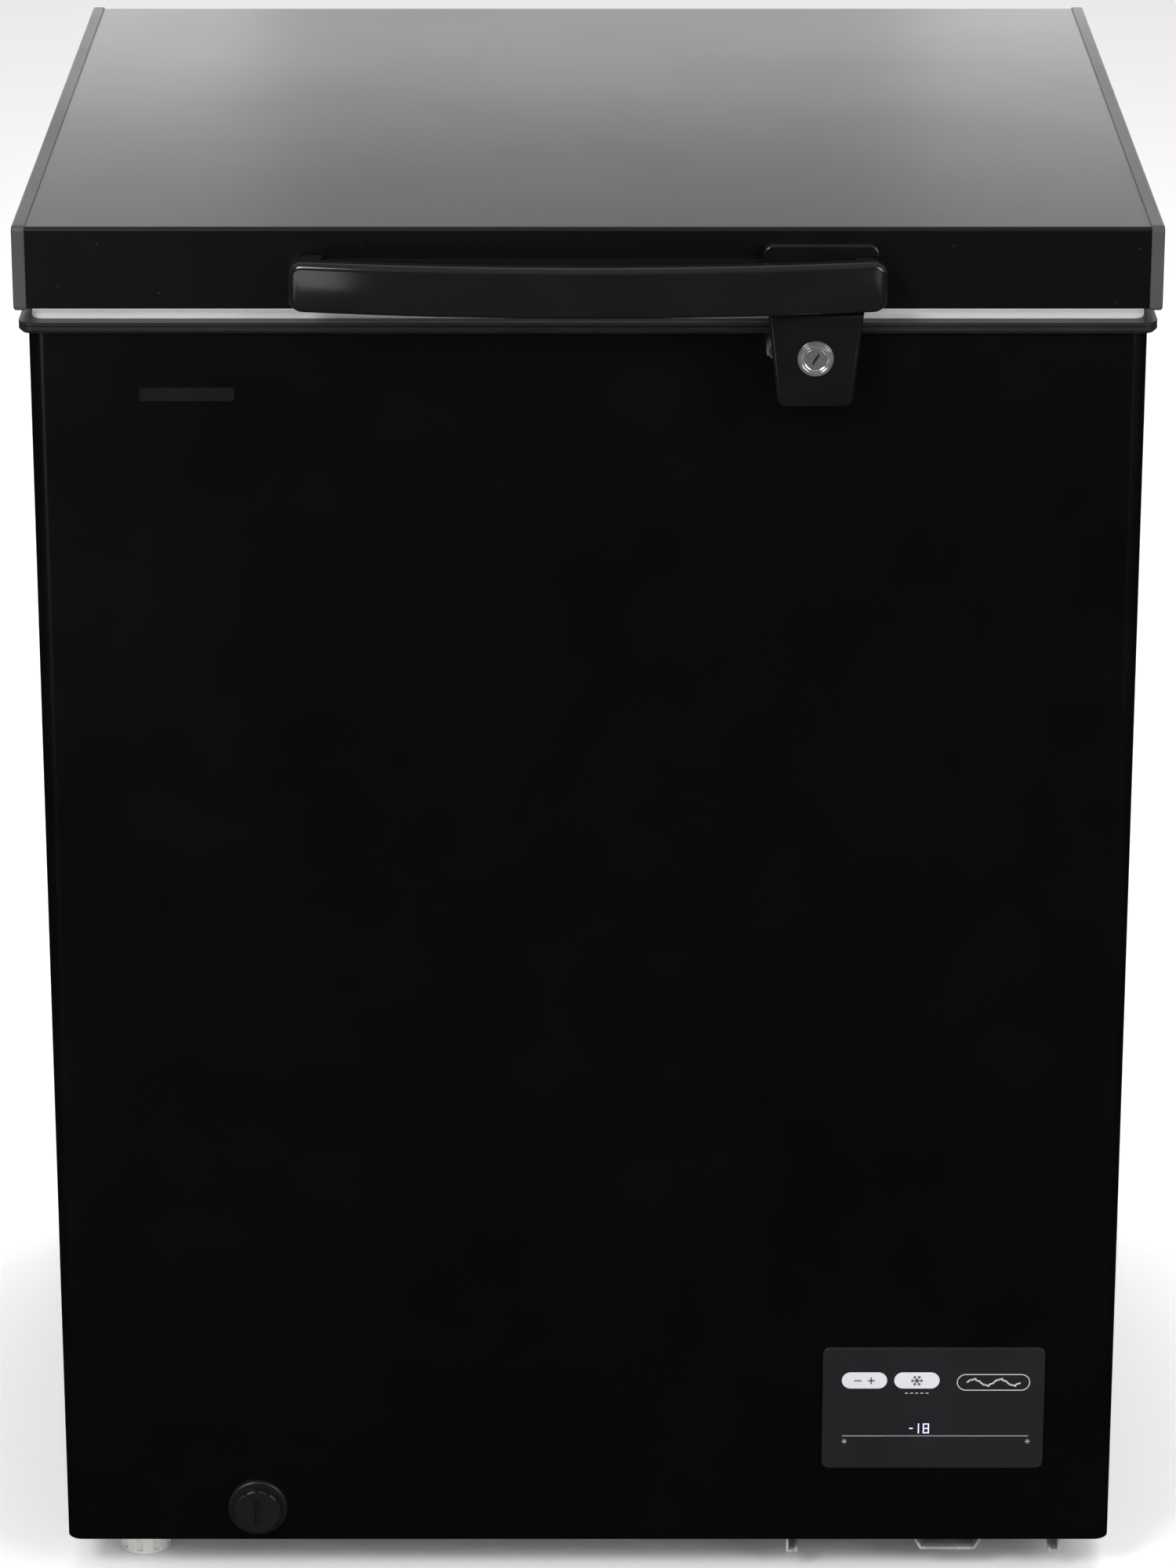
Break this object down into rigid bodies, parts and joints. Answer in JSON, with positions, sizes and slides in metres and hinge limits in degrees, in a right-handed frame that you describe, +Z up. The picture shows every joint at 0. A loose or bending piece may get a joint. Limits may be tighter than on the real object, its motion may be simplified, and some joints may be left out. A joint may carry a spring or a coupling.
{
  "type": "chest freezer",
  "caption": "Compact chest freezer with a hinged insulated lid, bowed handle, lid lock, front control panel, drain cap and screw feet.",
  "frame": {"origin": "on the floor, under the middle of the closed freezer's outline", "axes": "+Z up; -Y is the front with the handle and control panel; +X is to the right seen from the front"},
  "size_m": [0.646, 0.612, 0.85],
  "materials": {
    "cabinet_paint": "gloss",
    "rear_steel": "satin",
    "galvanised": "satin",
    "foam": "matte",
    "liner_white": "satin",
    "collar_plastic": "satin",
    "gasket_white": "matte",
    "lid_inner_plastic": "satin",
    "cap_plastic": "matte",
    "handle_gloss": "gloss",
    "chrome": "polished",
    "zinc_steel": "satin",
    "spring_steel": "satin",
    "badge": "satin",
    "panel_plastic": "satin",
    "panel_box_plastic": "matte",
    "key_plastic": "satin",
    "lit_digits": "gloss",
    "circuit_board": "satin",
    "aluminium_pipe": "satin",
    "steel_pipe": "satin",
    "copper_pipe": "polished",
    "compressor_paint": "satin",
    "black_rubber": "matte",
    "white_plastic": "satin",
    "dark_plastic": "satin",
    "cap_drain_plastic": "satin",
    "basket_plastic": "satin"
  },
  "bodies": {
    "cabinet": {"outer_wrap": "cabinet_paint", "rear_panel": "rear_steel", "bottom_plate": "galvanised", "compartment_shroud": "galvanised", "cabinet_foam": "foam", "inner_liner": "liner_white", "top_collar": "collar_plastic", "badge_bar": "badge", "evaporator_coil": "aluminium_pipe", "condenser_coil": "steel_pipe", "temperature_sensor": "white_plastic", "compressor_tray": "galvanised", "compressor_shell": "compressor_paint", "compressor_grommets": "black_rubber", "grommet_bolts": "zinc_steel", "terminal_cover": "dark_plastic", "suction_tube": "copper_pipe", "discharge_tube": "copper_pipe", "filter_drier": "copper_pipe", "capillary_tube": "copper_pipe", "rear_cover": "rear_steel", "cord_gland": "black_rubber", "side_grille": "dark_plastic", "panel_face": "panel_plastic", "panel_box": "panel_box_plastic", "control_board": "circuit_board", "display_digits": "lit_digits", "drain_elbow": "cap_drain_plastic", "foot_nuts": "zinc_steel", "lock_keeper": "zinc_steel", "hinge_bracket_left": "zinc_steel", "hinge_bracket_right": "zinc_steel", "hinge_pins": "zinc_steel", "hinge_springs": "spring_steel", "cabinet_screws": "zinc_steel"},
    "lid": {"lid_sheet": "cabinet_paint", "lid_foam": "foam", "lid_liner": "lid_inner_plastic", "lid_cap_left": "cap_plastic", "lid_cap_right": "cap_plastic", "gasket": "gasket_white", "handle_base": "handle_gloss", "handle_bar": "handle_gloss", "lock_housing": "handle_gloss", "lock_bezel": "chrome", "hinge_leaf_left": "zinc_steel", "hinge_leaf_right": "zinc_steel", "lid_screws": "zinc_steel"},
    "lock_plug": {"lock_cylinder": "chrome", "lock_cam": "zinc_steel"},
    "set_key": {"key_set": "key_plastic"},
    "fast_freeze_key": {"key_fast_freeze": "key_plastic"},
    "drain_pipe": {"drain_tube": "white_plastic"},
    "drain_knob": {"drain_cap": "cap_drain_plastic"},
    "well_plug": {"drain_plug": "white_plastic"},
    "hanging_basket": {"basket": "basket_plastic"},
    "foot_front_left_turning": {"foot_front_left": "white_plastic"},
    "foot_rear_left_turning": {"foot_rear_left": "white_plastic"},
    "foot_front_right_turning": {"foot_front_right": "white_plastic"},
    "foot_rear_right_turning": {"foot_rear_right": "white_plastic"}
  },
  "joints": [
    {"name": "lid_hinge", "type": "hinge", "parent": "cabinet", "child": "lid", "pos_m": [0, 0.292, 0.79], "axis": [-1, 0, 0], "range_deg": [0, 80]},
    {"name": "lock_turn", "type": "hinge", "parent": "lid", "child": "lock_plug", "pos_m": [0.1275, -0.28, 0.7784], "axis": [0, 1, 0], "range_deg": [0, 90]},
    {"name": "set_key_press", "type": "slide", "parent": "cabinet", "child": "set_key", "axis": [0, 1, 0], "range_m": [0, 0.0006], "stiffness_N_per_m": 900, "springref_m": -0.0008},
    {"name": "fast_freeze_key_press", "type": "slide", "parent": "cabinet", "child": "fast_freeze_key", "axis": [0, 1, 0], "range_m": [0, 0.0006], "stiffness_N_per_m": 900, "springref_m": -0.0008},
    {"name": "drain_pipe_pull", "type": "slide", "parent": "cabinet", "child": "drain_pipe", "axis": [0, -1, 0], "range_m": [0, 0.02]},
    {"name": "drain_knob_turn", "type": "hinge", "parent": "drain_pipe", "child": "drain_knob", "pos_m": [-0.2, -0.27, 0.047], "axis": [0, 1, 0], "range_deg": [0, 180]},
    {"name": "well_plug_lift", "type": "slide", "parent": "cabinet", "child": "well_plug", "axis": [0, 0, 1], "range_m": [0, 0.035]},
    {"name": "basket_slide", "type": "slide", "parent": "cabinet", "child": "hanging_basket", "axis": [-1, 0, 0], "range_m": [0, 0.29]},
    {"name": "foot_front_left_turn", "type": "hinge", "parent": "cabinet", "child": "foot_front_left_turning", "pos_m": [-0.272, -0.2255, 0.01], "axis": [0, 0, 1], "continuous": true},
    {"name": "foot_rear_left_turn", "type": "hinge", "parent": "cabinet", "child": "foot_rear_left_turning", "pos_m": [-0.272, 0.234, 0.01], "axis": [0, 0, 1], "continuous": true},
    {"name": "foot_front_right_turn", "type": "hinge", "parent": "cabinet", "child": "foot_front_right_turning", "pos_m": [0.21875, -0.188, 0.01], "axis": [0, 0, 1], "continuous": true},
    {"name": "foot_rear_right_turn", "type": "hinge", "parent": "cabinet", "child": "foot_rear_right_turning", "pos_m": [0.21875, 0.234, 0.01], "axis": [0, 0, 1], "continuous": true}
  ]
}
